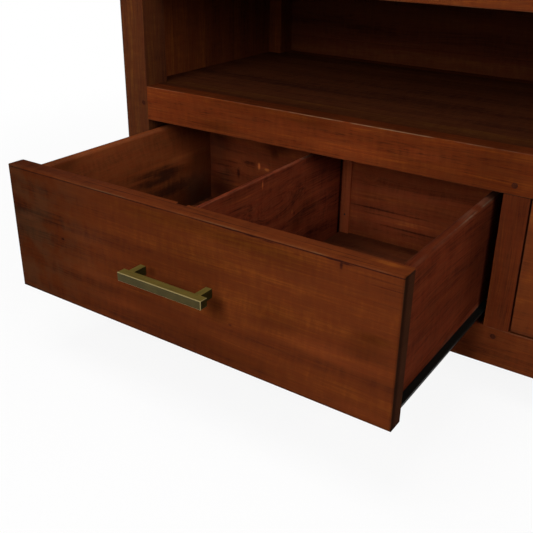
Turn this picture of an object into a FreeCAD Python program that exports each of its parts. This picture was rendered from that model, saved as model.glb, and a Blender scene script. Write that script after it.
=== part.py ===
import FreeCAD, Part
import os

from FreeCAD import Vector

# A low wooden television stand: a pegged post-and-rail frame with an open shelf under the top
# and two divided drawers on roller runners.
# Millimetres. +X to the right, +Y to the back, +Z up. The origin is on the floor,
# under the middle of the frame.

# The stand as a whole
frame_width = 1342.0  # over the outer faces of the posts
frame_depth = 450.0  # over the front and rear faces of the posts
stand_height = 600.0  # floor to the top surface
leg_clearance = 60.0  # floor to the underside of the bottom rails

# Posts, rails and stiles
post_size = 50.0
post_corner_radius = 3.0
foot_chamfer = 3.0
bottom_rail_height = 58.0
drawer_opening_height = 192.0
shelf_rail_height = 56.0
top_rail_height = 44.0
front_rail_thickness = 28.0
rear_rail_thickness = 24.0
side_rail_thickness = 22.0
side_rail_setback = 6.0  # side rails behind the outer faces of the posts
stile_width = 34.0
rail_arris_radius = 1.5

# Mortise-and-tenon joints and their pegs
tenon_thickness = 10.0
tenon_length = 30.0
side_tenon_length = 20.0
stile_tenon_length = 26.0
bearer_tenon_length = 10.0
tenon_shoulder = 8.0
stile_shoulder = 5.0
glue_space = 1.0  # past the end of a tenon
peg_diameter = 8.0
peg_play = 0.05
peg_proud = 0.4
peg_past_tenon = 4.0
post_peg_setback = 9.0  # from the shoulder of a rail
peg_chamfer = 0.5
stile_peg_setback = 13.0  # from the shoulder of the stile
stile_peg_shifts = (-2.0, -5.0)  # from the middle of the stile, lower peg and upper peg

# Boards
top_thickness = 26.0
top_overhang = 14.0
top_corner_radius = 6.0
top_arris_radius = 4.0
top_lower_arris_radius = 2.0
side_panel_thickness = 12.0
panel_groove_depth = 8.0
panel_float = 1.0  # room for the wood to move
deck_thickness = 18.0
cleat_size = 20.0
back_thickness = 8.0
cable_hole_diameter = 60.0
cable_hole_above_deck = 52.0
bearer_height = 46.0

# Fixings of the top and the feet
top_screw_diameter = 4.5
top_screw_length = 42.0
top_screw_head_diameter = 9.0
top_screw_head_height = 3.0
top_screw_well_diameter = 10.0
top_screw_well_depth = 14.0
top_screw_from_post = 120.0
screw_play = 0.1
glide_diameter = 28.0
glide_height = 4.0
glide_edge = 1.5
glide_pin_diameter = 4.0
glide_pin_length = 16.0

# Drawers
reveal = 2.0  # gap round a closed drawer front
drawer_front_thickness = 26.0
drawer_front_arris = 2.0
drawer_front_rear_arris = 3.0  # at its two ends
drawer_rear_gap = 13.0  # drawer box to the back panel
drawer_side_thickness = 14.0
drawer_side_drop = 9.5  # sides stop below the top edge of the front
drawer_side_housing = 8.0  # sides let into the front
drawer_side_round = 5.0  # rounding of the upper edges of the sides
drawer_back_thickness = 10.0
drawer_back_drop = 6.0  # below the top of the sides
drawer_back_rabbet = 5.0
drawer_bottom_thickness = 6.0
drawer_bottom_raise = 5.2  # underside of the bottom above the lower edge of the sides
drawer_bottom_groove = 4.0
divider_thickness = 7.0
divider_round = 2.0
divider_housing = 5.0
divider_slot_room = 9.0  # beside the divider, in its slot in the front
divider_rear_gap = 2.0
divider_cleat_width = 16.0
divider_cleat_thickness = 4.0

# Bar handles
handle_section = 12.0
handle_overhang = 9.0  # bar past its posts at each end
handle_projection = 33.0
handle_post_spacing = 106.0
handle_post_width = 9.0  # narrower than the bar
handle_above_front_bottom = 95.5
handle_chamfer = 0.8
handle_screw_diameter = 4.0
handle_screw_reach = 12.0  # into the handle post
handle_screw_head_diameter = 8.5
handle_screw_head_height = 2.6

# Roller runners: a channel on the frame and an angle under each drawer side
runner_space = 13.0  # drawer side to the face of the opening
runner_gauge = 1.2
runner_bend = 1.2  # outer radius of the bends
runner_overlap = 115.0  # length of runner still engaged when a drawer is pulled out
runner_behind_front = 2.0
runner_floor_gap = 2.0  # lowest part of a runner above the bottom rails
track_height = 10.0  # underside of the angle's flange above the lower edge of the side
track_lip = 3.0
lip_gap = 2.6  # lip of the angle to the web of the channel
foot_flange = 12.0
channel_gap = 1.8  # channel flanges to the web of the angle
channel_headroom = 0.8
roller_diameter = 18.0
roller_running_gap = 0.3
roller_side_gap = 0.65
roller_edge = 0.8
roller_recess = 0.6
roller_rim = 1.5
axle_diameter = 5.0
axle_play = 0.05
axle_shoulder_diameter = 7.0
front_axle_inset = 14.0
rear_axle_inset = 13.0
flange_cutback = 2.0  # flange cut away this far from a roller
stop_height = 5.0
stop_side_gap = 0.8
runner_screw_diameter = 3.6
runner_screw_head_diameter = 6.4
runner_screw_length = 12.0
runner_screw_inset = 72.0  # from each end of the runner
angle_screw_length = 9.0
angle_screw_head_diameter = 7.0
angle_screw_head_height = 1.8

# Places that follow from these sizes
left = -frame_width / 2
right = frame_width / 2
front = -frame_depth / 2
rear = frame_depth / 2
opening_bottom = leg_clearance + bottom_rail_height
opening_top = opening_bottom + drawer_opening_height
shelf_top = opening_top + shelf_rail_height
post_top = stand_height - top_thickness
top_rail_bottom = post_top - top_rail_height
front_rail_rear = front + front_rail_thickness
rear_rail_rear = rear - back_thickness
rear_rail_front = rear_rail_rear - rear_rail_thickness
inner_left = left + post_size
inner_right = right - post_size
rail_heights = {
    "bottom": (leg_clearance, opening_bottom),
    "shelf": (opening_top, shelf_top),
    "top": (top_rail_bottom, post_top),
}
side_rail_outer = left + side_rail_setback
side_rail_inner = side_rail_outer + side_rail_thickness
side_rail_middle = (side_rail_outer + side_rail_inner) / 2
panel_outer = side_rail_middle - side_panel_thickness / 2
panel_inner = panel_outer + side_panel_thickness
front_tenon_middle = front + front_rail_thickness / 2
rear_tenon_middle = rear_rail_front + rear_rail_thickness / 2
bearer_top = opening_bottom + bearer_height

opening_width = (frame_width - 2 * post_size - stile_width) / 2
drawer_centre = stile_width / 2 + opening_width / 2
front_half = opening_width / 2 - reveal
front_bottom = opening_bottom + reveal
front_top = opening_top - reveal
front_back = front + drawer_front_thickness
box_rear = rear - back_thickness - drawer_rear_gap
side_outer = opening_width / 2 - runner_space
side_inner = side_outer - drawer_side_thickness
side_top = front_top - drawer_side_drop
box_back_front = box_rear - drawer_back_thickness
box_back_top = side_top - drawer_back_drop
handle_height = front_bottom + handle_above_front_bottom
handle_bar_rear = front - handle_projection + handle_section
handle_half_length = handle_post_spacing / 2 + handle_post_width / 2 + handle_overhang
handle_xs = (-handle_post_spacing / 2, handle_post_spacing / 2)

runner_front = front_back + runner_behind_front
runner_length = box_rear - front_back
runner_rear = runner_front + runner_length
pull_out = runner_length - runner_overlap
channel_web = runner_space - runner_gauge
lip_outer = channel_web - lip_gap
lip_inner = lip_outer - runner_gauge
roller_width = lip_inner - runner_gauge - 2 * roller_side_gap
front_roller_inner = runner_gauge + roller_side_gap
rear_roller_outer = channel_web - roller_side_gap
roller_radius = roller_diameter / 2
front_axle_rise = track_height - roller_running_gap - roller_radius
channel_high = track_height + runner_gauge + channel_headroom
channel_low = channel_high - roller_diameter - 2 * roller_running_gap
rear_axle_rise = (channel_high + channel_low) / 2
channel_tip = runner_gauge + channel_gap
runner_drop = max(-channel_low, angle_screw_head_height) + runner_gauge
side_bottom = opening_bottom + runner_floor_gap + runner_drop
bottom_low = side_bottom + drawer_bottom_raise
bottom_high = bottom_low + drawer_bottom_thickness
front_axle_y = runner_front + front_axle_inset
rear_axle_y = box_rear - rear_axle_inset

x_axis = Vector(1, 0, 0)
y_axis = Vector(0, 1, 0)
z_axis = Vector(0, 0, 1)
origin = Vector(0, 0, 0)
past = 1.0  # how far a cutting tool reaches past the face that it enters


def board(x0, x1, y0, y1, z0, z1):
    """A square board between two corners."""
    return Part.makeBox(x1 - x0, y1 - y0, z1 - z0, Vector(x0, y0, z0))


def rod(diameter, start, axis, length):
    """A round bar from a point along an axis."""
    return Part.makeCylinder(diameter / 2, length, start, axis)


def mirrored(shape):
    """The same piece on the other side of the middle plane."""
    return shape.mirror(origin, x_axis)


def both_sides(shape):
    return [shape, mirrored(shape)]


def moved(shape, x=0.0, y=0.0):
    """A copy of a piece, moved along the floor."""
    copy = shape.copy()
    copy.translate(Vector(x, y, 0))
    return copy


def edges_where(shape, test):
    """The straight edges of a shape whose two ends both pass a test."""
    return [e for e in shape.Edges if all(test(v.Point) for v in e.Vertexes)]


def near(a, b):
    return abs(a - b) < 1e-6


def eased(shape, radius, test):
    """A shape with the edges that pass a test rounded over."""
    return shape.makeFillet(radius, edges_where(shape, test))


def turned(profile, start, axis):
    """A solid of revolution from (radius, distance along the axis) points."""
    side = z_axis if abs(axis.z) < 0.5 else x_axis
    points = [start + side * r + axis * d for r, d in profile]
    outline = Part.makePolygon(points + points[:1])
    return Part.Face(outline).revolve(start, axis, 360)


def save(name, *solids):
    """Write one node, a single piece or a set of separate like pieces."""
    shape = solids[0] if len(solids) == 1 else Part.makeCompound(list(solids))
    shape.exportStep("parts/" + name + ".step")


# Frame: the tenons, which also cut the mortises

def long_tenon(z0, z1, middle, extra=0.0):
    """The tenon of a front or rear rail, right through the rail."""
    reach = tenon_length + extra
    return board(inner_left - reach, inner_right + reach,
                 middle - tenon_thickness / 2, middle + tenon_thickness / 2,
                 z0 + tenon_shoulder, z1 - tenon_shoulder)


def side_tenon_heights(level):
    """A side rail's tenon stays clear of the groove that holds the panel."""
    z0, z1 = rail_heights[level]
    low_groove = panel_groove_depth if level == "top" else 0.0
    high_groove = panel_groove_depth if level == "bottom" else 0.0
    return z0 + tenon_shoulder + low_groove, z1 - tenon_shoulder - high_groove


def side_tenon(level, extra=0.0):
    z0, z1 = side_tenon_heights(level)
    reach = side_tenon_length + extra
    return board(side_rail_middle - tenon_thickness / 2, side_rail_middle + tenon_thickness / 2,
                 front + post_size - reach, rear - post_size + reach, z0, z1)


def stile_tenon(middle, extra=0.0):
    reach = stile_tenon_length + extra
    half = stile_width / 2 - stile_shoulder
    return board(-half, half, middle - tenon_thickness / 2, middle + tenon_thickness / 2,
                 opening_bottom - reach, opening_top + reach)


def bearer_tenon(extra=0.0):
    reach = bearer_tenon_length + extra
    return board(-tenon_thickness / 2, tenon_thickness / 2,
                 front_rail_rear - reach, rear_rail_front + reach,
                 opening_bottom + tenon_shoulder, bearer_top - tenon_shoulder)


def panel_space(extra=0.0):
    """The left side panel, or with extra room the groove that it stands in."""
    reach = panel_groove_depth - panel_float + extra
    return board(panel_outer, panel_inner,
                 front + post_size - reach, rear - post_size + reach,
                 opening_bottom - reach, top_rail_bottom + reach)


# Frame: pegs, each given by the middle of its visible end and the way that it is driven

def peg_places():
    """Pegs of the left half, as (place, direction, length to the far side of the tenon)."""
    front_reach = front_rail_thickness / 2 + tenon_thickness / 2
    rear_reach = rear - rear_tenon_middle + tenon_thickness / 2
    side_reach = side_rail_middle - left + tenon_thickness / 2
    peg_x = inner_left - post_peg_setback
    places = []
    for z0, z1 in rail_heights.values():
        z = (z0 + z1) / 2
        places.append((Vector(peg_x, front, z), y_axis, front_reach))
        places.append((Vector(peg_x, rear, z), -y_axis, rear_reach))
    for level in ("bottom", "top"):
        z = sum(side_tenon_heights(level)) / 2
        for y in (front + post_size - post_peg_setback, rear - post_size + post_peg_setback):
            places.append((Vector(left, y, z), x_axis, side_reach))
    return places


def stile_peg_places():
    reach = front_rail_thickness / 2 + tenon_thickness / 2
    heights = (opening_bottom - stile_peg_setback, opening_top + stile_peg_setback)
    return [(Vector(x, front, z), y_axis, reach) for x, z in zip(stile_peg_shifts, heights)]


def peg(place, direction, reach):
    """A peg with both ends chamfered, a little proud of the post."""
    radius = peg_diameter / 2
    length = reach + peg_past_tenon + peg_proud
    profile = [(0, 0), (radius - peg_chamfer, 0), (radius, peg_chamfer),
               (radius, length - peg_chamfer), (radius - peg_chamfer, length), (0, length)]
    return turned(profile, place - direction * peg_proud, direction)


def peg_holes(places):
    holes = [rod(peg_diameter + 2 * peg_play, place - direction * past, direction,
                 reach + peg_past_tenon + past) for place, direction, reach in places]
    return Part.makeCompound(holes)


def glide(x, y):
    """A nailed foot glide: a chamfered disc with its pin."""
    profile = [(0, 0), (glide_diameter / 2 - glide_edge, 0), (glide_diameter / 2, glide_edge),
               (glide_diameter / 2, glide_height), (glide_pin_diameter / 2, glide_height),
               (glide_pin_diameter / 2, glide_height + glide_pin_length),
               (0, glide_height + glide_pin_length)]
    return turned(profile, Vector(x, y, 0), z_axis)


def left_post(y0):
    """A left-hand corner post with its mortises, panel groove, peg holes and glide hole."""
    y1 = y0 + post_size
    post = board(left, inner_left, y0, y1, glide_height, post_top)
    foot = [e for e in post.Edges if near(e.BoundBox.ZMax, glide_height)]
    post = post.makeChamfer(foot_chamfer, foot)
    outer_y = y0 if y0 == front else y1
    post = eased(post, post_corner_radius, lambda p: near(p.x, left) and near(p.y, outer_y))
    middle = front_tenon_middle if y0 == front else rear_tenon_middle
    for z0, z1 in rail_heights.values():
        post = post.cut(long_tenon(z0, z1, middle, glue_space))
    for level in ("bottom", "top"):
        post = post.cut(side_tenon(level, glue_space))
    post = post.cut(panel_space(panel_float))
    post = post.cut(peg_holes(peg_places()))
    pin_hole = rod(glide_pin_diameter + 2 * screw_play,
                   Vector(left + post_size / 2, y0 + post_size / 2, 0), z_axis,
                   glide_height + glide_pin_length + screw_play)
    return post.cut(pin_hole)


def top_screw_places(y):
    first = inner_left + top_screw_from_post
    return [Vector(x, y, top_rail_bottom + top_screw_well_depth) for x in (first, 0.0, -first)]


def top_screw(seat):
    """A screw driven up through a top rail, its head at the end of a well."""
    head = rod(top_screw_head_diameter, seat, -z_axis, top_screw_head_height)
    return head.fuse(rod(top_screw_diameter, seat, z_axis, top_screw_length)).removeSplitter()


def top_screw_holes(y):
    holes = []
    for seat in top_screw_places(y):
        holes.append(rod(top_screw_diameter + 2 * screw_play, seat, z_axis,
                         top_screw_length + screw_play))
        holes.append(rod(top_screw_well_diameter, seat, -z_axis, top_screw_well_depth + past))
    return Part.makeCompound(holes)


def long_rail(level, y0, thickness, middle):
    """A front or rear rail with a pegged tenon on each end."""
    z0, z1 = rail_heights[level]
    rail = board(inner_left, inner_right, y0, y0 + thickness, z0, z1)
    if y0 == front:
        for z in (z0, z1):
            rail = eased(rail, rail_arris_radius, lambda p: near(p.y, front) and near(p.z, z))
    rail = rail.fuse(long_tenon(z0, z1, middle)).removeSplitter()
    holes = peg_places()
    rail = rail.cut(peg_holes(holes)).cut(mirrored(peg_holes(holes)))
    if level == "top":
        return rail.cut(top_screw_holes(middle))
    rail = rail.cut(stile_tenon(middle, glue_space))
    return rail.cut(peg_holes(stile_peg_places())) if y0 == front else rail


def left_side_rail(level):
    z0, z1 = rail_heights[level]
    rail = board(side_rail_outer, side_rail_inner, front + post_size, rear - post_size, z0, z1)
    for z in (z0, z1):
        rail = eased(rail, rail_arris_radius, lambda p: near(p.x, side_rail_outer) and near(p.z, z))
    rail = rail.fuse(side_tenon(level)).removeSplitter()
    return rail.cut(panel_space(panel_float)).cut(peg_holes(peg_places()))


def stile(y0, thickness, middle):
    post = board(-stile_width / 2, stile_width / 2, y0, y0 + thickness, opening_bottom, opening_top)
    post = post.fuse(stile_tenon(middle)).removeSplitter().cut(bearer_tenon(glue_space))
    return post.cut(peg_holes(stile_peg_places())) if y0 == front else post


# Boards of the frame

def top_panel():
    over = top_overhang
    panel = board(left - over, right + over, front - over, rear, post_top, stand_height)
    corners = [e for e in panel.Edges if near(e.BoundBox.ZLength, top_thickness)]
    panel = panel.makeFillet(top_corner_radius, corners)
    upper = [e for e in panel.Edges if near(e.BoundBox.ZMin, stand_height)]
    panel = panel.makeFillet(top_arris_radius, upper)
    lower = [e for e in panel.Edges if near(e.BoundBox.ZMax, post_top)]
    panel = panel.makeFillet(top_lower_arris_radius, lower)
    return panel.cut(top_screw_holes(front_tenon_middle)).cut(top_screw_holes(rear_tenon_middle))


def shelf_deck():
    """The shelf behind the shelf rail, notched round the four posts."""
    low = shelf_top - deck_thickness
    deck = board(panel_inner, -panel_inner, front_rail_rear, rear_rail_front, low, shelf_top)
    for x0, x1 in ((left, inner_left), (inner_right, right)):
        for y0 in (front, rear - post_size):
            deck = deck.cut(board(x0, x1, y0, y0 + post_size, low - past, shelf_top + past))
    return deck


def frame_cleats():
    """Battens on the rails and the side panels, under the deck and under the runner bearers."""
    deck_bottom = shelf_top - deck_thickness
    cleats = [board(inner_left, inner_right, y0, y0 + cleat_size, high - cleat_size, high)
              for high in (deck_bottom, opening_bottom)
              for y0 in (front_rail_rear, rear_rail_front - cleat_size)]
    side_cleat = board(panel_inner, panel_inner + cleat_size, front + post_size, rear - post_size,
                       deck_bottom - cleat_size, deck_bottom)
    return cleats + both_sides(side_cleat)


def back_panel(z0, z1):
    return board(inner_left, inner_right, rear_rail_rear, rear, z0, z1)


def cable_hole():
    centre = Vector(0, rear_rail_rear - past, shelf_top + cable_hole_above_deck)
    return rod(cable_hole_diameter, centre, y_axis, back_thickness + 2 * past)


# Runners, made for the right-hand side of a drawer that is centred on x = 0 and closed

def section_along_y(points, y0, y1):
    """A bent sheet section, as (out from the drawer side, up from its lower edge) points, along Y."""
    corners = [Vector(side_outer + out, y0, side_bottom + up) for out, up in points]
    outline = Part.makePolygon(corners + corners[:1])
    return Part.Face(outline).extrude(Vector(0, y1 - y0, 0))


def bent(sheet, *corners):
    """A sheet section with its outer bends rounded, given as (out, up) points like the section."""
    for out, up in corners:
        x, z = side_outer + out, side_bottom + up
        sheet = eased(sheet, runner_bend, lambda p: near(p.x, x) and near(p.z, z))
    return sheet


def runner_screw_ys():
    return [runner_front + runner_screw_inset, (runner_front + runner_rear) / 2,
            runner_rear - runner_screw_inset]


def axle(y, rise, base, shoulder_end, tip):
    """A stepped axle stud that stands on a runner's web and points at the other one."""
    direction = x_axis if tip > base else -x_axis
    start = Vector(side_outer + base, y, side_bottom + rise)
    shoulder = rod(axle_shoulder_diameter, start, direction, abs(shoulder_end - base))
    return shoulder.fuse(rod(axle_diameter, start, direction, abs(tip - base)))


def stop_tab(y0):
    """A tongue bent up from the channel's lower flange, in the way of the drawer's roller."""
    x0 = side_outer + channel_tip + stop_side_gap
    x1 = side_outer + channel_web - stop_side_gap
    z0 = side_bottom + channel_low - runner_gauge / 2
    return board(x0, x1, y0, y0 + runner_gauge, z0, side_bottom + channel_low + stop_height)


def countersunk_screw(y, play=0.0):
    """A countersunk screw through the channel's web into the wood behind, or its hole."""
    head = runner_screw_head_diameter / 2 + play
    shank = runner_screw_diameter / 2 + play
    end = runner_gauge + runner_screw_length + play
    profile = [(0, 0), (head, 0), (shank, runner_gauge), (shank, end), (0, end)]
    place = Vector(side_outer + channel_web, y, side_bottom + rear_axle_rise)
    return turned(profile, place, x_axis)


def channel_runner():
    """The frame's half of a runner: a channel with the front roller's axle and two stops."""
    section = [(runner_space, channel_low - runner_gauge), (runner_space, channel_high + runner_gauge),
               (channel_tip, channel_high + runner_gauge), (channel_tip, channel_high),
               (channel_web, channel_high), (channel_web, channel_low),
               (channel_tip, channel_low), (channel_tip, channel_low - runner_gauge)]
    channel = section_along_y(section, runner_front, runner_rear)
    channel = bent(channel, section[0], section[1])
    mouth = board(side_outer, side_outer + channel_web, runner_front - past,
                  front_axle_y + roller_radius + flange_cutback,
                  side_bottom + channel_low - runner_gauge - past, side_bottom + channel_low + past)
    channel = channel.cut(mouth)
    roller_end = front_roller_inner + roller_width + roller_side_gap / 2
    stud = axle(front_axle_y, front_axle_rise, channel_web, roller_end, front_roller_inner)
    channel = channel.fuse(stud)
    contact_rise = rear_axle_rise - (channel_low + stop_height)
    contact = (roller_radius ** 2 - contact_rise ** 2) ** 0.5 + roller_running_gap
    for y in (rear_axle_y - pull_out - contact - runner_gauge, rear_axle_y + contact):
        channel = channel.fuse(stop_tab(y))
    for y in runner_screw_ys():
        channel = channel.cut(countersunk_screw(y, screw_play))
    return channel.removeSplitter()


def angle_runner():
    """The drawer's half of a runner: an angle with a lipped track and the rear roller's axle."""
    foot = [(-foot_flange, -runner_gauge), (runner_gauge, -runner_gauge),
            (runner_gauge, track_height + runner_gauge), (0, track_height + runner_gauge),
            (0, 0), (-foot_flange, 0)]
    track_top = track_height + runner_gauge
    track = [(0, track_height), (lip_inner, track_height), (lip_inner, track_height - track_lip),
             (lip_outer, track_height - track_lip), (lip_outer, track_top), (0, track_top)]
    track_rear = rear_axle_y - roller_radius - flange_cutback
    angle = bent(section_along_y(foot, front_back, box_rear), foot[1])
    angle = angle.fuse(bent(section_along_y(track, front_back, track_rear), track[4]))
    roller_start = rear_roller_outer - roller_width - roller_side_gap / 2
    stud = axle(rear_axle_y, rear_axle_rise, runner_gauge, roller_start, rear_roller_outer)
    angle = angle.fuse(stud)
    for y in runner_screw_ys():
        angle = angle.cut(angle_screw(y, screw_play))
    return angle.removeSplitter()


def angle_screw(y, play=0.0):
    """A pan-head screw up through the angle into the lower edge of the drawer side, or its hole."""
    place = Vector((side_inner + side_outer) / 2, y, side_bottom - runner_gauge)
    length = runner_gauge + angle_screw_length + play
    shank = rod(runner_screw_diameter + 2 * play, place, z_axis, length)
    head = rod(angle_screw_head_diameter, place, -z_axis, angle_screw_head_height)
    return shank.fuse(head).removeSplitter()


def roller(y, rise, inner):
    """A moulded roller with rounded rims and a dished face on each side."""
    bore = axle_diameter / 2 + axle_play
    hub = axle_shoulder_diameter / 2
    rim = roller_radius - roller_rim
    width = roller_width
    near_face = [(bore, 0), (hub, 0), (hub + roller_recess, roller_recess),
                 (rim - roller_recess, roller_recess), (rim, 0),
                 (roller_radius - roller_edge, 0), (roller_radius, roller_edge)]
    far_face = [(r, width - d) for r, d in reversed(near_face)]
    return turned(near_face + far_face, Vector(side_outer + inner, y, side_bottom + rise), x_axis)


# Drawers, made centred on x = 0 and closed

def side_board():
    """A drawer side with rounded upper edges, before its joints are cut."""
    side = board(side_inner, side_outer, front_back - drawer_side_housing, box_rear, side_bottom, side_top)
    upper = [e for e in side.Edges if near(e.BoundBox.ZMin, side_top) and e.BoundBox.YLength > past]
    return side.makeFillet(drawer_side_round, upper)


def drawer_side():
    side = side_board().cut(drawer_bottom()).cut(drawer_back())
    for y in runner_screw_ys():
        side = side.cut(angle_screw(y, screw_play))
    return side


def drawer_bottom():
    reach = side_inner + drawer_bottom_groove
    return board(-reach, reach, front_back - drawer_bottom_groove, box_rear, bottom_low, bottom_high)


def drawer_back():
    reach = side_inner + drawer_back_rabbet
    return board(-reach, reach, box_back_front, box_rear, bottom_high, box_back_top)


def divider_cleat():
    """A batten on the drawer's back, beside the divider."""
    x0 = divider_thickness / 2
    return board(x0, x0 + divider_cleat_width, box_back_front - divider_cleat_thickness, box_back_front,
                 bottom_high, box_back_top)


def drawer_divider():
    half = divider_thickness / 2
    panel = board(-half, half, front_back - divider_housing, box_back_front - divider_rear_gap,
                  bottom_high, side_top)
    upper = [e for e in panel.Edges if near(e.BoundBox.ZMin, side_top) and e.BoundBox.YLength > past]
    return panel.makeFillet(divider_round, upper)


def divider_slot():
    """The slot in the back of a drawer front, open at the top and wider than the divider."""
    half = divider_thickness / 2
    return board(-half - divider_slot_room, half, front_back - divider_housing, front_back + past,
                 bottom_high, front_top + past)


def handle_screw(x, play=0.0):
    """A machine screw from inside the drawer front into a handle post, or its hole."""
    place = Vector(x, front_back, handle_height)
    length = drawer_front_thickness + handle_screw_reach + play
    shank = rod(handle_screw_diameter + 2 * play, place, -y_axis, length)
    head = rod(handle_screw_head_diameter, place, y_axis, handle_screw_head_height)
    return shank.fuse(head).removeSplitter()


def handle_post(x):
    half_width = handle_post_width / 2
    half_height = handle_section / 2
    post = board(x - half_width, x + half_width, handle_bar_rear, front,
                 handle_height - half_height, handle_height + half_height)
    return post.cut(handle_screw(x, screw_play))


def handle_bar():
    half = handle_section / 2
    bar = board(-handle_half_length, handle_half_length,
                handle_bar_rear - handle_section, handle_bar_rear,
                handle_height - half, handle_height + half)
    outer = [e for e in bar.Edges if e.BoundBox.YMin < handle_bar_rear - handle_section / 2]
    return bar.makeChamfer(handle_chamfer, outer)


def drawer_front():
    panel = board(-front_half, front_half, front, front_back, front_bottom, front_top)
    panel = eased(panel, drawer_front_arris, lambda p: near(p.y, front))
    ends = [e for e in panel.Edges if near(e.BoundBox.YMin, front_back) and e.BoundBox.ZLength > past]
    panel = panel.makeFillet(drawer_front_rear_arris, ends)
    side = side_board()
    panel = panel.cut(side).cut(mirrored(side)).cut(drawer_bottom()).cut(divider_slot())
    for x in handle_xs:
        panel = panel.cut(handle_screw(x, screw_play))
    return panel


def drawer_nodes():
    """Everything that travels with a drawer, as {name: solids}."""
    screws = [angle_screw(y) for y in runner_screw_ys()]
    side = drawer_side()
    rear_roller = roller(rear_axle_y, rear_axle_rise, rear_roller_outer - roller_width)
    return {
        "front": [drawer_front()],
        "left_side": [mirrored(side)],
        "right_side": [side],
        "back": [drawer_back()],
        "bottom": [drawer_bottom()],
        "divider": [drawer_divider()],
        "divider_cleats": both_sides(divider_cleat()),
        "handle_bar": [handle_bar()],
        "handle_posts": [handle_post(x) for x in handle_xs],
        "handle_screws": [handle_screw(x) for x in handle_xs],
        "angle_runners": both_sides(angle_runner()),
        "angle_screws": screws + [mirrored(s) for s in screws],
        "rear_rollers": both_sides(rear_roller),
    }


def fixed_runner_nodes():
    """The frame's half of the runners of a drawer, as {name: solids}."""
    return {
        "channel_runners": both_sides(channel_runner()),
        "front_rollers": both_sides(roller(front_axle_y, front_axle_rise, front_roller_inner)),
    }


def channel_screws(x, play=0.0):
    """Screws of the channels of the drawer whose middle is at x, or their holes."""
    screws = [countersunk_screw(y, play) for y in runner_screw_ys()]
    return [moved(s, x) for s in screws + [mirrored(s) for s in screws]]


os.makedirs("parts", exist_ok=True)

for row, y0 in (("front", front), ("rear", rear - post_size)):
    post = left_post(y0)
    save(row + "_left_post", post)
    save(row + "_right_post", mirrored(post))

for level in rail_heights:
    save(level + "_front_rail", long_rail(level, front, front_rail_thickness, front_tenon_middle))
    save(level + "_rear_rail", long_rail(level, rear_rail_front, rear_rail_thickness, rear_tenon_middle))

for level in ("bottom", "top"):
    rail = left_side_rail(level)
    save("left_" + level + "_side_rail", rail)
    save("right_" + level + "_side_rail", mirrored(rail))

save("front_centre_stile", stile(front, front_rail_thickness, front_tenon_middle))
save("rear_centre_stile", stile(rear_rail_front, rear_rail_thickness, rear_tenon_middle))

pegs = [peg(*place) for place in peg_places()]
stile_pegs = [peg(*place) for place in stile_peg_places()]
save("joint_pegs", *pegs, *[mirrored(p) for p in pegs], *stile_pegs)

save("left_side_panel", panel_space())
save("right_side_panel", mirrored(panel_space()))
save("top_panel", top_panel())
save("top_screws", *[top_screw(seat) for y in (front_tenon_middle, rear_tenon_middle)
                     for seat in top_screw_places(y)])
save("shelf_deck", shelf_deck())
save("frame_cleats", *frame_cleats())

panel_joint = (opening_top + shelf_top) / 2
save("niche_back_panel", back_panel(panel_joint, post_top).cut(cable_hole()))
save("drawer_back_panel", back_panel(leg_clearance, panel_joint))

glide_x = right - post_size / 2
glide_y = rear - post_size / 2
save("foot_glides", *[glide(x, y) for x in (-glide_x, glide_x) for y in (-glide_y, glide_y)])

# Bearers, flush with the faces of the drawer openings, that the channels are screwed to
side_bearer = board(panel_inner, inner_left, front + post_size, rear - post_size,
                    opening_bottom, bearer_top)
centre_bearer = board(-stile_width / 2, stile_width / 2, front_rail_rear, rear_rail_front,
                      opening_bottom, bearer_top)
bearers = {
    "left": side_bearer,
    "centre": centre_bearer.fuse(bearer_tenon()).removeSplitter(),
    "right": mirrored(side_bearer),
}
for name, bearer in bearers.items():
    for x in (-drawer_centre, drawer_centre):
        for hole in channel_screws(x, screw_play):
            bearer = bearer.cut(hole)
    save(name + "_runner_bearer", bearer)

save("channel_screws", *channel_screws(-drawer_centre), *channel_screws(drawer_centre))

# The left drawer stands pulled out and the right one is closed
for name, x, y in (("left", -drawer_centre, -pull_out), ("right", drawer_centre, 0.0)):
    for node, solids in drawer_nodes().items():
        save(name + "_drawer_" + node, *[moved(s, x, y) for s in solids])
    for node, solids in fixed_runner_nodes().items():
        save(name + "_drawer_" + node, *[moved(s, x) for s in solids])
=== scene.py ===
import bpy
import math
from mathutils import Matrix, Vector


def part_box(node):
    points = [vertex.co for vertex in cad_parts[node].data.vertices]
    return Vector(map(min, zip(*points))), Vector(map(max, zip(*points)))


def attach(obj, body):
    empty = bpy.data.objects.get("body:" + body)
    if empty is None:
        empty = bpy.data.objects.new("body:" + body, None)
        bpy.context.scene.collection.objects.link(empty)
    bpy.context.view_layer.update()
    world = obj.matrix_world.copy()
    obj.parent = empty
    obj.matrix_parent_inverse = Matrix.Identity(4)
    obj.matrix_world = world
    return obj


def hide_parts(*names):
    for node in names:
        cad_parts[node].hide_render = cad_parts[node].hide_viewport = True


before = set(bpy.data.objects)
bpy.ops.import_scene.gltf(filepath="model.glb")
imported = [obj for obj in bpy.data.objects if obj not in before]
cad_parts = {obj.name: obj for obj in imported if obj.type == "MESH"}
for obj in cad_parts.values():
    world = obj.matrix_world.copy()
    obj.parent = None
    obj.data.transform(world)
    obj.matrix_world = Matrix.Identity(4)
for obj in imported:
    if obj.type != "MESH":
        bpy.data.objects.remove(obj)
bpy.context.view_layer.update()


# Small helpers for node trees

def feed(tree, socket, source):
    if isinstance(source, bpy.types.NodeSocket):
        tree.links.new(source, socket)
    elif source is not None:
        socket.default_value = source


def mathNode(tree, operation, *sources):
    node = tree.nodes.new("ShaderNodeMath")
    node.operation = operation
    for socket, source in zip(node.inputs, sources):
        feed(tree, socket, source)
    return node.outputs[0]


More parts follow.
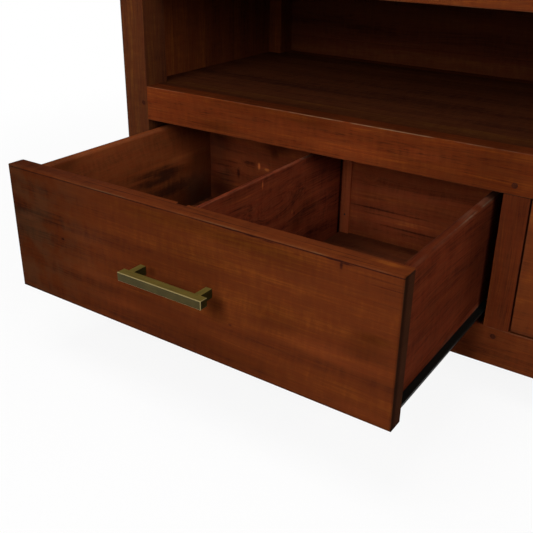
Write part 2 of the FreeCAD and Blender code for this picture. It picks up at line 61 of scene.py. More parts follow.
def vectorNode(tree, operation, *sources):
    node = tree.nodes.new("ShaderNodeVectorMath")
    node.operation = operation
    for socket, source in zip(node.inputs, sources):
        feed(tree, socket, source)
    scalar = operation in ("DOT_PRODUCT", "LENGTH", "DISTANCE")
    return node.outputs["Value"] if scalar else node.outputs["Vector"]


def scaled(tree, vector, amount):
    node = tree.nodes.new("ShaderNodeVectorMath")
    node.operation = "SCALE"
    feed(tree, node.inputs["Vector"], vector)
    feed(tree, node.inputs["Scale"], amount)
    return node.outputs["Vector"]


def combined(tree, x, y, z):
    node = tree.nodes.new("ShaderNodeCombineXYZ")
    for socket, source in zip(node.inputs, (x, y, z)):
        feed(tree, socket, source)
    return node.outputs[0]


def rangeNode(tree, value, fromLow, fromHigh, toLow=0.0, toHigh=1.0):
    node = tree.nodes.new("ShaderNodeMapRange")
    node.interpolation_type = "SMOOTHSTEP"
    for socket, source in zip(node.inputs, (value, fromLow, fromHigh, toLow, toHigh)):
        feed(tree, socket, source)
    return node.outputs["Result"]


def noiseNode(tree, vector, scale=1.0, detail=2.0, roughness=0.5):
    node = tree.nodes.new("ShaderNodeTexNoise")
    feed(tree, node.inputs["Vector"], vector)
    feed(tree, node.inputs["Scale"], scale)
    feed(tree, node.inputs["Detail"], detail)
    feed(tree, node.inputs["Roughness"], roughness)
    return node


def mixColour(tree, factor, first, second, blend="MIX"):
    node = tree.nodes.new("ShaderNodeMix")
    node.data_type = "RGBA"
    node.blend_type = blend
    feed(tree, node.inputs[0], factor)
    feed(tree, node.inputs[6], first)
    feed(tree, node.inputs[7], second)
    return node.outputs[2]


def newGroup(name, inputs, outputs):
    tree = bpy.data.node_groups.new(name, "ShaderNodeTree")
    for label, kind, value in inputs:
        socket = tree.interface.new_socket(label, in_out="INPUT", socket_type="NodeSocket" + kind)
        socket.default_value = value
    for label, kind in outputs:
        tree.interface.new_socket(label, in_out="OUTPUT", socket_type="NodeSocket" + kind)
    source = tree.nodes.new("NodeGroupInput").outputs
    target = tree.nodes.new("NodeGroupOutput").inputs
    return tree, source, target


def placeGroup(tree, group, **values):
    node = tree.nodes.new("ShaderNodeGroup")
    node.node_tree = group
    for label, value in values.items():
        feed(tree, node.inputs[label], value)
    return node.outputs


def newMaterial(name):
    material = bpy.data.materials.new(name)
    material.use_nodes = True
    tree = material.node_tree
    shader = next(n for n in tree.nodes if n.type == "BSDF_PRINCIPLED")
    return material, tree, shader


def bumpInto(tree, shader, height, strength, distance):
    bump = tree.nodes.new("ShaderNodeBump")
    bump.inputs["Strength"].default_value = strength
    bump.inputs["Distance"].default_value = distance
    feed(tree, bump.inputs["Height"], height)
    feed(tree, shader.inputs["Normal"], bump.outputs["Normal"])


def dress(nodeName, material):
    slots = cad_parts[nodeName].data.materials
    slots.clear()
    slots.append(material)


# Masks from the way that a face looks: end grain where it looks along the grain, and the rounded
# arrises where it looks along no axis

faceLook = {"endFrom": (0.6, 0.9), "arrisFrom": (0.99, 0.9)}


def makeFaceSense():
    tree, source, target = newGroup(
        "faceSense",
        [("Normal", "Vector", (0, 0, 1)), ("Grain", "Vector", (1, 0, 0))],
        [("End", "Float"), ("Arris", "Float")])
    along = vectorNode(tree, "DOT_PRODUCT", source["Normal"], source["Grain"])
    along = mathNode(tree, "ABSOLUTE", along)
    feed(tree, target["End"], rangeNode(tree, along, *faceLook["endFrom"]))
    sides = tree.nodes.new("ShaderNodeSeparateXYZ")
    feed(tree, sides.inputs[0], vectorNode(tree, "ABSOLUTE", source["Normal"]))
    most = mathNode(tree, "MAXIMUM", sides.outputs[0], sides.outputs[1])
    most = mathNode(tree, "MAXIMUM", most, sides.outputs[2])
    feed(tree, target["Arris"], rangeNode(tree, most, *faceLook["arrisFrom"]))
    return tree


# A soft round mark, drawn out along the grain, for knots, streaks, painted shade and light, and rub marks

spotFade = (1.0, 0.15)  # shares of the mark's size where it begins and where it is full


def makeSoftSpot():
    tree, source, target = newGroup(
        "softSpot",
        [("Vector", "Vector", (0, 0, 0)), ("Centre", "Vector", (0, 0, 0)),
         ("Size", "Vector", (0.01, 0.004, 1.0))],
        [("Spot", "Float")])
    offset = vectorNode(tree, "SUBTRACT", source["Vector"], source["Centre"])
    away = vectorNode(tree, "LENGTH", vectorNode(tree, "DIVIDE", offset, source["Size"]))
    feed(tree, target["Spot"], rangeNode(tree, away, *spotFade))
    return tree


# Stained wood. X of the vector runs along the grain, Y across the planks, in metres

grainNoises = {  # stretch along and across the grain, detail and roughness
    "cloud": ((2.2, 11.0, 11.0), 3.0, 0.5),
    "broad": ((2.6, 70.0, 70.0), 3.0, 0.6),
    "narrow": ((6.0, 210.0, 210.0), 3.0, 0.6),
    "mottle": ((130.0, 34.0, 34.0), 3.0, 0.6),
    "fibre": ((16.0, 620.0, 620.0), 2.0, 0.5),
    "pores": ((45.0, 700.0, 700.0), 1.0, 0.5),
    "blush": ((40.0, 160.0, 160.0), 3.0, 0.7),
    "wearAndHighlight": ((25.0, 25.0, 25.0), 3.0, 0.6),
}
grainLook = {
    "plankJump": (3.7, 1.3, 2.1), "plankWeight": 0.16, "seamWidth": (0.0006, 0.0001), "seamShade": 0.35,
    "driftStretch": (1.8, 6.0, 6.0), "driftDetail": 2.0, "knotSwell": 0.02, "knotWeight": -0.06,
    "ringStretch": (0.08, 1.0, 1.0), "ringDistortion": 2.2, "ringDetail": 2.0, "ringDetailScale": 1.4,
    "poreRange": (0.58, 0.7), "wearAndHighlightRange": (0.35, 0.6), "endShare": 0.8,
    "darkToMiddle": (0.05, 0.55), "middleToLight": (0.5, 0.95),
    "toneRoughness": 0.16, "endRoughness": 0.15, "poreRoughness": 0.12,
    "fibreHeight": 0.4, "poreDepth": 0.6,
}
middle = 0.5  # of a noise, and of the tone
onePlank = 10.0  # wider than any board


def makeWoodGrain():
    tree, source, target = newGroup(
        "stainedGrain",
        [("Vector", "Vector", (0, 0, 0)), ("End", "Float", 0.0), ("Arris", "Float", 0.0),
         ("Knot", "Float", 0.0), ("Patch", "Float", 0.0), ("Cast", "Float", 0.0),
         ("RubAndHighlight", "Float", 0.0),
         ("Dark", "Color", (0.02, 0.006, 0.003, 1)), ("Middle", "Color", (0.09, 0.02, 0.006, 1)),
         ("Light", "Color", (0.16, 0.045, 0.01, 1)),
         ("Figure", "Float", 0.03), ("RingScale", "Float", 14.0), ("RingWeight", "Float", 0.3),
         ("CloudWeight", "Float", 0.4), ("StreakWeight", "Float", 0.5), ("MottleWeight", "Float", 0.2),
         ("FibreWeight", "Float", 0.3), ("PoreWeight", "Float", 0.1), ("Blush", "Float", 0.2),
         ("PlankWidth", "Float", onePlank),
         ("EndGrain", "Color", (0.02, 0.009, 0.005, 1)), ("WornAndHighlight", "Color", (0.1, 0.06, 0.03, 1)),
         ("WornAndHighlightShare", "Float", 0.3), ("Gloss", "Float", 0.4)],
        [("Color", "Color"), ("Roughness", "Float"), ("Height", "Float")])

    def product(first, second):
        return mathNode(tree, "MULTIPLY", first, second)

    def weighed(value, weight):
        return product(mathNode(tree, "SUBTRACT", value, middle), weight)

    def grainNoise(kind, vector):
        stretch, detail, roughness = grainNoises[kind]
        stretched = vectorNode(tree, "MULTIPLY", vector, stretch)
        return noiseNode(tree, stretched, 1.0, detail, roughness).outputs["Fac"]

    # planks, each from its own place in the log
    axes = tree.nodes.new("ShaderNodeSeparateXYZ")
    feed(tree, axes.inputs[0], source["Vector"])
    across = mathNode(tree, "DIVIDE", axes.outputs["Y"], source["PlankWidth"])
    plank = mathNode(tree, "FLOOR", across)
    plankTone = tree.nodes.new("ShaderNodeTexWhiteNoise")
    plankTone.noise_dimensions = "1D"
    feed(tree, plankTone.inputs["W"], plank)
    board = vectorNode(tree, "ADD", source["Vector"], scaled(tree, grainLook["plankJump"], plank))
    seam = mathNode(tree, "FRACT", across)
    seam = mathNode(tree, "MINIMUM", seam, mathNode(tree, "SUBTRACT", 1.0, seam))
    seam = rangeNode(tree, product(seam, source["PlankWidth"]), *grainLook["seamWidth"])

    # growth rings, bent by a slow drift and round the knots
    drift = vectorNode(tree, "MULTIPLY", board, grainLook["driftStretch"])
    drift = noiseNode(tree, drift, 1.0, grainLook["driftDetail"]).outputs["Color"]
    drift = vectorNode(tree, "SUBTRACT", drift, (middle, middle, middle))
    bent = vectorNode(tree, "ADD", board, scaled(tree, drift, source["Figure"]))
    swell = product(source["Knot"], grainLook["knotSwell"])
    bent = vectorNode(tree, "ADD", bent, combined(tree, 0.0, swell, swell))
    rings = tree.nodes.new("ShaderNodeTexWave")
    rings.wave_type = "RINGS"
    rings.rings_direction = "X"
    feed(tree, rings.inputs["Vector"], vectorNode(tree, "MULTIPLY", bent, grainLook["ringStretch"]))
    feed(tree, rings.inputs["Scale"], source["RingScale"])
    rings.inputs["Distortion"].default_value = grainLook["ringDistortion"]
    rings.inputs["Detail"].default_value = grainLook["ringDetail"]
    rings.inputs["Detail Scale"].default_value = grainLook["ringDetailScale"]

    # tone of the stain, from dark to light
    fibre = grainNoise("fibre", bent)
    poreMask = rangeNode(tree, grainNoise("pores", board), *grainLook["poreRange"])
    parts = [weighed(rings.outputs["Fac"], source["RingWeight"]),
             weighed(grainNoise("cloud", bent), source["CloudWeight"]),
             weighed(grainNoise("broad", bent), source["StreakWeight"]),
             weighed(grainNoise("narrow", bent), source["StreakWeight"]),
             weighed(grainNoise("mottle", bent), source["MottleWeight"]),
             weighed(fibre, source["FibreWeight"]),
             weighed(plankTone.outputs["Value"], grainLook["plankWeight"]),
             product(source["Knot"], grainLook["knotWeight"]),
             source["Patch"]]
    tone = mathNode(tree, "SUBTRACT", middle, product(poreMask, source["PoreWeight"]))
    for part in parts:
        tone = mathNode(tree, "ADD", part, tone)
    toMiddle = rangeNode(tree, tone, *grainLook["darkToMiddle"])
    colour = mixColour(tree, toMiddle, source["Dark"], source["Middle"])
    toLight = rangeNode(tree, tone, *grainLook["middleToLight"])
    colour = mixColour(tree, toLight, colour, source["Light"])

    # redder or more golden in small spots, then end grain, worn arrises with painted highlights, dark plank
    # seams, and painted shade and light
    golden = mathNode(tree, "ADD", 1.0, weighed(grainNoise("blush", board), source["Blush"]))
    colour = vectorNode(tree, "MULTIPLY", colour, combined(tree, 1.0, golden, golden))
    colour = mixColour(tree, product(source["End"], grainLook["endShare"]), colour, source["EndGrain"])
    # worn colour on the arrises and along rub marks: partly worn finish, mostly painted highlights
    wearAndHighlight = mathNode(tree, "MAXIMUM", product(source["Arris"], source["WornAndHighlightShare"]), source["RubAndHighlight"])
    broken = rangeNode(tree, grainNoise("wearAndHighlight", board), *grainLook["wearAndHighlightRange"])
    colour = mixColour(tree, product(broken, wearAndHighlight), colour, source["WornAndHighlight"])
    shade = mathNode(tree, "SUBTRACT", 1.0, product(seam, grainLook["seamShade"]))
    # painted shade and painted light from the shading marks
    shade = product(shade, mathNode(tree, "ADD", 1.0, source["Cast"]))
    colour = vectorNode(tree, "MULTIPLY", colour, combined(tree, shade, shade, shade))
    feed(tree, target["Color"], colour)

    rough = product(mathNode(tree, "SUBTRACT", middle, tone), grainLook["toneRoughness"])
    rough = mathNode(tree, "ADD", rough, source["Gloss"])
    rough = mathNode(tree, "ADD", rough, product(source["End"], grainLook["endRoughness"]))
    rough = mathNode(tree, "ADD", rough, product(poreMask, grainLook["poreRoughness"]))
    feed(tree, target["Roughness"], rough)
    height = product(fibre, grainLook["fibreHeight"])
    height = mathNode(tree, "SUBTRACT", height, product(poreMask, grainLook["poreDepth"]))
    feed(tree, target["Height"], mathNode(tree, "SUBTRACT", height, seam))
    return tree


faceSense = makeFaceSense()
softSpot = makeSoftSpot()
woodGrain = makeWoodGrain()
print("shader groups made")


# Wooden boards: each has its own cut of the log, its grain along the first letter and its planks
# along the second

caseWood = {
    "Dark": (0.026, 0.0068, 0.0036, 1), "Middle": (0.095, 0.0208, 0.0060, 1),
    "Light": (0.165, 0.0440, 0.0078, 1),
    "Figure": 0.03, "RingScale": 9.0, "RingWeight": 0.12, "CloudWeight": 0.4,
    "StreakWeight": 0.36, "MottleWeight": 0.34, "FibreWeight": 0.6, "PoreWeight": 0.14, "Blush": 0.5,
    # the worn colour on the arrises is partly worn finish and partly a painted highlight
    "EndGrain": (0.0160, 0.0080, 0.0046, 1), "WornAndHighlight": (0.16, 0.085, 0.045, 1), "WornAndHighlightShare": 0.3,
    "Gloss": 0.42,
}
frontWood = {
    **caseWood,
    "Middle": (0.095, 0.0204, 0.0050, 1), "Light": (0.170, 0.0430, 0.0066, 1),
    "CloudWeight": 0.85, "StreakWeight": 0.28, "FibreWeight": 0.36, "PoreWeight": 0.06, "Blush": 0.3,
    "WornAndHighlight": (0.085, 0.054, 0.026, 1), "WornAndHighlightShare": 0.08,
}
drawerWood = {
    **caseWood,
    "Dark": (0.022, 0.0058, 0.0036, 1), "Middle": (0.096, 0.0205, 0.0078, 1),
    "Light": (0.165, 0.0430, 0.0110, 1),
    "Figure": 0.06, "RingWeight": 0.2, "StreakWeight": 0.3, "FibreWeight": 0.38, "PoreWeight": 0.05,
    "Blush": 0.55, "Gloss": 0.5,
}
sideWood = {
    **drawerWood,
    "RingWeight": 0.08, "StreakWeight": 0.34, "CloudWeight": 0.26, "FibreWeight": 0.6, "PoreWeight": 0.04,
    "WornAndHighlight": (0.13, 0.075, 0.045, 1), "WornAndHighlightShare": 0.1,
}
plainSideWood = {**sideWood, "StreakWeight": 0.12, "FibreWeight": 0.22}
dividerWood = {**sideWood, "RingWeight": 0.16, "CloudWeight": 0.4, "StreakWeight": 0.36}
bottomWood = {**drawerWood, "RingWeight": 0.1}
hiddenWood = {
    **drawerWood,
    "Middle": (0.068, 0.0160, 0.0060, 1), "Light": (0.115, 0.0330, 0.0090, 1), "Gloss": 0.6,
}
boards = [
    ("xz", caseWood, ["bottom_front_rail", "shelf_front_rail", "top_front_rail",
                      "bottom_rear_rail", "shelf_rear_rail", "top_rear_rail"]),
    ("xz", frontWood, ["left_drawer_front", "right_drawer_front"]),
    ("xy", caseWood, ["top_panel", "shelf_deck"]),
    ("zx", caseWood, ["front_left_post", "front_right_post", "rear_left_post", "rear_right_post",
                      "front_centre_stile", "rear_centre_stile"]),
    ("zy", caseWood, ["left_side_panel", "right_side_panel"]),
    ("yz", caseWood, ["left_bottom_side_rail", "left_top_side_rail",
                      "right_bottom_side_rail", "right_top_side_rail"]),
    ("xz", drawerWood, ["left_drawer_back", "right_drawer_back"]),
    ("xy", bottomWood, ["left_drawer_bottom", "right_drawer_bottom"]),
    ("yz", plainSideWood, ["left_drawer_left_side", "right_drawer_left_side"]),
    ("yz", sideWood, ["left_drawer_right_side", "right_drawer_right_side"]),
    ("yz", dividerWood, ["left_drawer_divider", "right_drawer_divider"]),
    ("zx", drawerWood, ["left_drawer_divider_cleats", "right_drawer_divider_cleats"]),
    ("xz", hiddenWood, ["niche_back_panel", "drawer_back_panel", "frame_cleats"]),
    ("yz", hiddenWood, ["left_runner_bearer", "centre_runner_bearer", "right_runner_bearer"]),
]
# board tones are partly each board's own and partly painted light and shade for how the light falls on it
boardTonesAndPaintedLight = {  # red, green and blue of a board against its kind of wood
    "left_drawer_front": (0.79, 0.79, 0.9),
    "right_drawer_front": (1.1, 1.17, 1.35),
    "front_left_post": (0.7, 0.86, 1.1),
    "shelf_front_rail": (1.28, 1.13, 1.0),
    "front_centre_stile": (0.86, 0.78, 0.85),
    "shelf_deck": (0.85, 1.03, 1.25),
}
# inside the drawers the boards are made lighter, and the right sides darker, as painted light and shade
drawerPaintedLightTones = {  # the same, for the boards of both drawers
    "left_side": (1.68, 1.85, 1.35), "right_side": (0.92, 0.82, 0.8), "divider": (1.4, 1.22, 1.2),
    "bottom": (1.4, 1.68, 1.6), "back": (1.65, 1.62, 1.45), "divider_cleats": (2.8, 2.9, 2.6),
}
for side in ("left", "right"):
    for part, tone in drawerPaintedLightTones.items():
        boardTonesAndPaintedLight[side + "_drawer_" + part] = tone
plankWidths = {
    "top_panel": 0.118, "shelf_deck": 0.104, "left_side_panel": 0.088, "right_side_panel": 0.088,
    "niche_back_panel": 0.096, "drawer_back_panel": 0.096,
}
boardShift = (1.37, 0.411, 0.233)  # from one board to the next in the log
woodFinish = {"specular": 0.0005, "bump": (0.25, 0.0004)}  # a bump is its strength and depth

# Marks on single boards, in metres: place along and across, size along and across, strength, and
# for a mark on one face its place and size in depth. Knots bend the grain, patches lighten or
# darken the stain (one paints a shadow line on the right side), shading marks are painted shade
# and painted light on a stretch, and rub marks give the worn colour, mostly as painted highlights
whole = 9.0  # a size past both ends of any board
anyDepth = (0.0, 100.0)
frontArris = (-0.5125, 0.005)  # depth of the upper arris of the left drawer's front
sideFace = (-0.032, 0.010)  # depth of the outer face of its right side
boardKnots = {
    "left_drawer_back": [(-0.505, 0.212, 0.034, 0.022, 0.45), (-0.268, 0.243, 0.02, 0.012, 0.5)],
    "left_drawer_left_side": [(-0.22, 0.19, 0.12, 0.035, 1.0)],
    "left_drawer_divider": [(-0.30, 0.24, 0.10, 0.04, 1.0)],
}
boardPatches = {
    "left_drawer_front": [
        (-0.319, 0.3057, 2.0, 0.0010, -0.42),
        (-0.235, 0.3050, 0.018, 0.0012, -0.35), (-0.205, 0.3046, 0.016, 0.0013, -0.4),
        (-0.182, 0.3038, 0.016, 0.0013, -0.4), (-0.102, 0.3048, 0.014, 0.0013, -0.4),
        (-0.084, 0.3040, 0.012, 0.0014, -0.4), (-0.350, 0.3048, 0.020, 0.0012, -0.3),
        (-0.5202, 0.2195, 0.0045, 0.0024, -0.3), (-0.0905, 0.3005, 0.003, 0.006, -0.3),
        (-0.0500, 0.2970, 0.050, 0.0016, -0.25), (-0.0300, 0.2900, 0.050, 0.0014, -0.2),
        (-0.2349, 0.1810, 0.004, 0.003, -0.35), (-0.1446, 0.2990, 0.006, 0.002, -0.2),
        (-0.0920, 0.3020, 0.015, 0.010, -0.12), (-0.1500, 0.3052, 0.160, 0.0014, -0.15),
        (-0.42, 0.3085, 0.10, 0.003, -0.30, -0.5005, 0.0016),
        (-0.25, 0.3085, 0.12, 0.003, -0.35, -0.5040, 0.0016),
        (-0.12, 0.3085, 0.09, 0.003, -0.30, -0.4985, 0.0014),
        (-0.33, 0.3085, 0.09, 0.003, -0.25, -0.4940, 0.0014),
        (-0.07, 0.3085, 0.06, 0.003, -0.30, -0.5060, 0.0014),
        (-0.045, 0.3085, 0.03, 0.003, 0.30, -0.494, 0.008)],
    "left_drawer_left_side": [
        (-0.247, 0.2300, 0.085, 0.0040, -0.16), (-0.272, 0.2265, 0.060, 0.0050, -0.16),
        (-0.240, 0.2235, 0.070, 0.0070, -0.16), (-0.205, 0.2195, 0.065, 0.0100, -0.20),
        (-0.285, 0.2155, 0.050, 0.0060, -0.16), (-0.245, 0.2090, 0.070, 0.0075, -0.18),
        (-0.235, 0.2120, 0.090, 0.0150, -0.14),
        (-0.200, 0.1860, 0.110, 0.0220, -0.28), (-0.200, 0.2380, 0.160, 0.0050, 0.14)],
    "left_drawer_back": [
        (-0.485, 0.2206, 0.004, 0.009, 0.5), (-0.468, 0.2166, 0.007, 0.004, 0.5),
        (-0.548, 0.2170, 0.038, 0.003, -0.28), (-0.552, 0.1800, 0.042, 0.003, -0.3),
        (-0.530, 0.1990, 0.005, 0.016, -0.22), (-0.505, 0.2220, 0.022, 0.005, -0.2),
        (-0.562, 0.2080, 0.034, 0.002, -0.2), (-0.566, 0.1900, 0.034, 0.002, -0.2),
        (-0.545, 0.1710, 0.040, 0.002, -0.2),
        (-0.225, 0.1930, 0.11, 0.0024, -0.26), (-0.180, 0.1680, 0.11, 0.0026, -0.28),
        (-0.260, 0.2110, 0.05, 0.004, -0.2), (-0.190, 0.1785, 0.10, 0.006, 0.1),
        (-0.210, 0.1840, 0.12, 0.0018, -0.2)],
    "left_drawer_right_side": [
        # the first patch is a painted shadow line under the top arris of the outer face
        (-0.26, 0.2928, 0.16, 0.0012, -0.25, -0.030, 0.006),
        (-0.385, 0.277, 0.022, 0.018, 0.22, *sideFace), (-0.432, 0.289, 0.014, 0.008, 0.14, *sideFace),
        (-0.390, 0.2470, 0.020, 0.0018, 0.16, *sideFace), (-0.365, 0.2425, 0.020, 0.0018, 0.18, *sideFace),
        (-0.340, 0.2380, 0.020, 0.0018, 0.16, *sideFace)],
    "left_drawer_divider": [
        (-0.330, 0.2880, 0.0028, 0.010, 0.5), (-0.2512, 0.2240, 0.002, 0.006, 0.45),
        (-0.2450, 0.2190, 0.0018, 0.004, -0.5)],
}
# Painted shade and painted light: shadows under the handle, the shelf rail and on the deck, dark drawer
# corners and rounded edges, and lighter stretches where light falls in
boardPaintedShadings = {
    "left_drawer_front": [
        (-0.68, 0.22, 0.30, 0.4, -0.38), (0.0, 0.27, 0.35, 0.3, 0.1),
        (-0.40, 0.3083, 0.6, 0.0016, 0.28), (-0.319, 0.1200, whole, 0.005, -0.45),
        (-0.0185, 0.215, 0.004, whole, -0.55, -0.5105, 0.010), (-0.29, 0.2955, 0.22, 0.016, -0.3),
        (-0.585, 0.239, 0.03, 0.008, 0.2), (-0.47, 0.180, 0.10, 0.014, 0.15),
        (-0.095, 0.191, 0.10, 0.018, 0.32), (-0.045, 0.2275, 0.035, 0.009, -0.35),
        (-0.258, 0.204, 0.026, 0.016, -0.28),
        (-0.2520, 0.207, 0.014, 0.014, -0.2), (-0.357, 0.2165, 0.010, 0.009, -0.35),
        (-0.057, 0.214, 0.036, 0.022, -0.24), (-0.171, 0.212, 0.050, 0.030, -0.18),
        (-0.180, 0.288, 0.100, 0.022, -0.22), (-0.290, 0.256, 0.090, 0.030, -0.14),
        (-0.060, 0.131, 0.070, 0.008, 0.16), (-0.085, 0.3090, 0.070, 0.0014, -0.14),
        (-0.306, 0.149, 0.080, 0.025, -0.1), (-0.364, 0.280, 0.090, 0.020, -0.1),
        (-0.460, 0.215, 0.050, 0.050, 0.1), (-0.254, 0.190, 0.026, 0.018, -0.32),
        (-0.235, 0.138, 0.130, 0.020, -0.18), (-0.067, 0.195, 0.035, 0.015, -0.18),
        (-0.475, 0.237, 0.060, 0.014, 0.14), (-0.419, 0.152, 0.070, 0.014, 0.14),
        (-0.320, 0.209, 0.045, 0.012, -0.15)],
    "left_drawer_left_side": [
        (-0.37, 0.285, 0.24, 0.05, 0.25), (-0.15, 0.15, 0.12, 0.05, -0.5),
        (-0.44, 0.295, 0.05, 0.02, -0.3),
        (-0.30, 0.2985, whole, 0.008, -0.95, -0.6068, 0.0045), (-0.30, 0.2985, whole, 0.004, -0.25),
        (-0.30, 0.2970, whole, 0.0035, -0.4, -0.5915, 0.004),
        (-0.425, 0.285, 0.06, 0.022, -0.4, -0.592, 0.006),
        (-0.13, 0.150, 0.07, 0.04, -0.12), (-0.14, 0.205, 0.06, 0.06, -0.15),
        (-0.170, 0.232, 0.045, 0.022, 0.4), (-0.172, 0.194, 0.035, 0.016, 0.22),
        (-0.24, 0.285, 0.05, 0.02, -0.15)],
    "left_drawer_right_side": [
        (-0.23, 0.23, 0.11, 0.16, -0.5, *sideFace), (-0.33, 0.2985, whole, 0.004, -0.2),
        (-0.36, 0.215, 0.14, 0.035, -0.16, *sideFace), (-0.29, 0.140, 0.14, 0.012, 0.3, *sideFace),
        (-0.245, 0.142, 0.05, 0.010, 0.4, *sideFace), (-0.272, 0.2985, 0.06, 0.004, 0.25)],
    "left_drawer_back": [
        (-0.45, 0.262, 0.045, 0.022, -0.55), (-0.30, 0.20, 0.03, 0.15, 0.5),
        (-0.575, 0.200, 0.05, 0.11, -0.35), (-0.485, 0.2200, 0.0040, 0.009, 0.9),
        (-0.468, 0.2166, 0.006, 0.0035, 0.4), (-0.452, 0.247, 0.014, 0.012, -0.35),
        (-0.560, 0.158, 0.06, 0.025, -0.3), (-0.16, 0.2330, 0.12, 0.008, 0.25),
        (-0.475, 0.219, 0.026, 0.013, 0.25), (-0.579, 0.198, 0.024, 0.016, 0.45),
        (-0.565, 0.178, 0.04, 0.025, -0.12), (-0.565, 0.253, 0.04, 0.02, -0.2),
        (-0.57, 0.262, 0.05, 0.014, -0.3), (-0.22, 0.175, 0.12, 0.045, 0.45),
        (-0.22, 0.226, 0.14, 0.010, 0.25)],
    "left_drawer_divider": [
        (-0.13, 0.23, 0.08, 0.13, 0.55), (-0.241, 0.197, 0.03, 0.015, -0.35),
        (-0.180, 0.165, 0.07, 0.03, -0.4), (-0.1035, 0.20, 0.0065, whole, -1.2),
        (-0.3287, 0.2896, 0.0022, 0.009, 0.5), (-0.393, 0.290, 0.05, 0.012, -0.2),
        (-0.214, 0.215, 0.05, 0.03, -0.18)],
    "left_drawer_divider_cleats": [(0.22, -0.311, whole, whole, 0.25)],
    "left_drawer_bottom": [(-0.30, -0.14, 0.08, 0.05, -0.4), (-0.17, -0.13, 0.08, 0.06, 0.3)],
    "front_centre_stile": [(0.29, 0.0, 0.06, whole, -0.2)],
    "bottom_front_rail": [(-0.040, 0.10, 0.03, whole, -0.4)],
    "shelf_front_rail": [
        (0.0, 0.3664, whole, 0.0012, -0.55), (0.06, 0.34, 0.35, whole, -0.3),
        (-0.40, 0.357, 0.14, 0.012, -0.2), (-0.30, 0.357, 0.07, 0.014, -0.28),
        (-0.24, 0.325, 0.10, 0.022, 0.24), (-0.13, 0.340, 0.06, 0.012, 0.24),
        (-0.48, 0.322, 0.06, 0.016, -0.28), (-0.03, 0.335, 0.05, whole, -0.12),
        (0.0, 0.3664, 0.20, 0.0012, 0.3), (0.02, 0.3664, 0.10, 0.0012, 0.15),
        (-0.42, 0.3664, 0.36, 0.0012, -0.09), (-0.42, 0.3630, 0.18, 0.0035, -0.22)],
    "shelf_deck": [(0.0, -0.22, whole, 0.14, -0.6)],
}
# rub marks: mostly painted highlights along the arrises of the front, the right side, the divider and the
# shelf rail, and some worn patches
boardRubAndHighlights = {
    "left_drawer_front": [
        (-0.42, 0.3069, 0.08, 0.0009, 0.5, *frontArris), (-0.26, 0.3069, 0.12, 0.0009, 0.4, *frontArris),
        (-0.10, 0.3069, 0.11, 0.0009, 0.45, *frontArris),
        (-0.64, 0.2150, 0.24, 0.2500, 0.22, -0.513, 0.012)],
    "left_drawer_left_side": [(-0.13, 0.160, 0.07, 0.06, 0.3)],
    "left_drawer_back": [(-0.575, 0.21, 0.05, 0.10, 0.12), (-0.478, 0.219, 0.018, 0.008, 0.35)],
    "left_drawer_right_side": [
        (-0.28, 0.2979, 0.15, 0.0011, 0.85, -0.0318, 0.0018),
        (-0.17, 0.2968, 0.10, 0.0014, 0.9, -0.0335, 0.004),
        (-0.20, 0.2985, 0.10, 0.003, 0.22), (-0.280, 0.2985, 0.06, 0.003, 0.2),
        (-0.25, 0.1400, 0.10, 0.0016, 0.3, -0.032, 0.006), (-0.28, 0.1400, 0.14, 0.0080, 0.2, *sideFace)],
    "left_drawer_divider": [(-0.17, 0.2985, 0.16, 0.0018, 0.5)],
    "shelf_front_rail": [(-0.22, 0.3652, 0.32, 0.0010, 1.0, -0.2245, 0.004)],
}
boardMarks = {"Knot": boardKnots, "Patch": boardPatches, "Cast": boardPaintedShadings, "RubAndHighlight": boardRubAndHighlights}


def toned(nodeName, look):
    tone = boardTonesAndPaintedLight.get(nodeName, (1.0, 1.0, 1.0))
    stains = {}
    for stain in ("Dark", "Middle", "Light"):
        stains[stain] = (*[part * share for part, share in zip(look[stain], tone)], 1)
    return {**look, **stains}


def marksOn(tree, place, marks):
    total = None
    for along, across, length, width, strength, *depth in marks:
        inside, thickness = depth or anyDepth
        spot = placeGroup(tree, softSpot, Vector=place, Centre=(along, across, inside),
                          Size=(length, width, thickness))["Spot"]
        spot = mathNode(tree, "MULTIPLY", spot, strength)
        total = spot if total is None else mathNode(tree, "ADD", total, spot)
    return total


def woodMaterial(nodeName, axes, look, number):
    material, tree, shader = newMaterial(nodeName + "_wood")
    place = tree.nodes.new("ShaderNodeTexCoord")
    split = tree.nodes.new("ShaderNodeSeparateXYZ")
    feed(tree, split.inputs[0], place.outputs["Object"])
    order = axes + next(a for a in "xyz" if a not in axes)
    turned = combined(tree, *[split.outputs["xyz".index(axis)] for axis in order])
    mapping = tree.nodes.new("ShaderNodeMapping")
    mapping.inputs["Location"].default_value = [number * step for step in boardShift]
    feed(tree, mapping.inputs["Vector"], turned)
    grainAxis = [1.0 if a == axes[0] else 0.0 for a in "xyz"]
    faces = placeGroup(tree, faceSense, Normal=place.outputs["Normal"], Grain=grainAxis)
    marks = {kind: marksOn(tree, turned, places.get(nodeName, [])) for kind, places in boardMarks.items()}
    grain = placeGroup(tree, woodGrain, Vector=mapping.outputs[0], End=faces["End"], Arris=faces["Arris"],
                       PlankWidth=plankWidths.get(nodeName, onePlank), **marks, **toned(nodeName, look))
    feed(tree, shader.inputs["Base Color"], grain["Color"])
    feed(tree, shader.inputs["Roughness"], grain["Roughness"])
    shader.inputs["Specular IOR Level"].default_value = woodFinish["specular"]
    bumpInto(tree, shader, grain["Height"], *woodFinish["bump"])
    return material


number = 0
for axes, look, names in boards:
    for nodeName in names:
        number += 1
        dress(nodeName, woodMaterial(nodeName, axes, look, number))
print("boards dressed:", number)


# Pegs: dark end grain in their holes. Here and below a noise is its scale, detail and roughness

pegLook = {"dark": (0.022, 0.0062, 0.0032, 1), "light": (0.050, 0.0120, 0.0050, 1),
           "speck": (900.0, 3.0, 0.7), "speckRange": (0.35, 0.65),
           "roughness": 0.5, "specular": 0.005, "bump": (0.3, 0.0004)}


